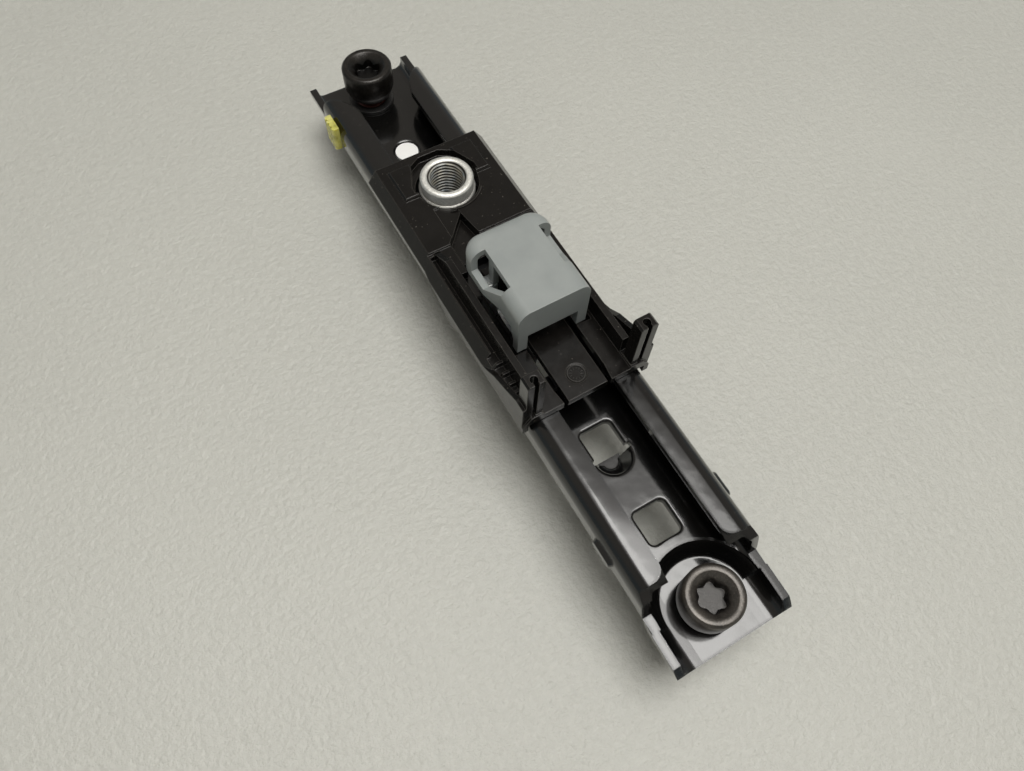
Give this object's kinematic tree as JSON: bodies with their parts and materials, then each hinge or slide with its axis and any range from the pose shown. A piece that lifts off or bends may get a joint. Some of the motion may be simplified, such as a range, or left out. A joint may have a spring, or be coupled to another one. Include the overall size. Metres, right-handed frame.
{
  "type": "seat belt height adjuster",
  "caption": "Pressed steel rail with lock windows and two screws, and a slider with a threaded anchor nut, trim posts and a release button.",
  "frame": {"origin": "axis of the lower screw, on the plane of the pillar that the lower pad lies on", "axes": "+Y up the rail to the upper screw, +Z away from the pillar to the cabin, +X to the right seen from the cabin with the upper screw at the top"},
  "size_m": [0.0397, 0.2122, 0.0558],
  "materials": {
    "rail_black": "gloss e-coat",
    "screw_phosphate": "matt phosphate",
    "sleeve_plastic": "moulded",
    "plug_white": "moulded",
    "clip_yellow": "translucent",
    "plate_black": "satin e-coat",
    "nut_zinc": "zinc plated",
    "housing_black": "fine satin",
    "runner_plastic": "moulded",
    "pin_steel": "zinc plated",
    "spring_steel": "bright wire",
    "lever_steel": "zinc plated",
    "button_grey": "fine satin"
  },
  "bodies": {
    "rail": {"rail": "rail_black", "lower_bolt": "screw_phosphate", "upper_bolt": "screw_phosphate", "lower_sleeve": "sleeve_plastic", "upper_sleeve": "sleeve_plastic", "locating_plug": "plug_white", "side_clip": "clip_yellow"},
    "slider": {"slide_plate": "plate_black", "anchor_nut": "nut_zinc", "slider_housing": "housing_black", "left_runner": "runner_plastic", "right_runner": "runner_plastic", "lever_pin": "pin_steel", "pin_clip": "pin_steel", "left_case_screw": "pin_steel", "right_case_screw": "pin_steel", "button_spring": "spring_steel", "lock_spring": "spring_steel"},
    "lever": {"lock_lever": "lever_steel"},
    "button": {"release_button": "button_grey"}
  },
  "joints": [
    {"name": "slider_travel", "type": "slide", "parent": "rail", "child": "slider", "axis": [0, 1, 0], "range_m": [-0.0258, 0.0258]},
    {"name": "button_press", "type": "slide", "parent": "slider", "child": "button", "axis": [0, 0, 1], "range_m": [-0.003, 0.0016], "stiffness_N_per_m": 1500, "deforming": ["button_spring"]},
    {"name": "lock_lever_pivot", "type": "hinge", "parent": "slider", "child": "lever", "pos_m": [0, 0.088, 0.00925], "axis": [1, 0, 0], "range_deg": [-19.15, 10.23], "deforming": ["lock_spring"]}
  ],
  "couplings": [
    {"joint": "lock_lever_pivot", "follows": "button_press", "rad_per_m": 111.1}
  ]
}
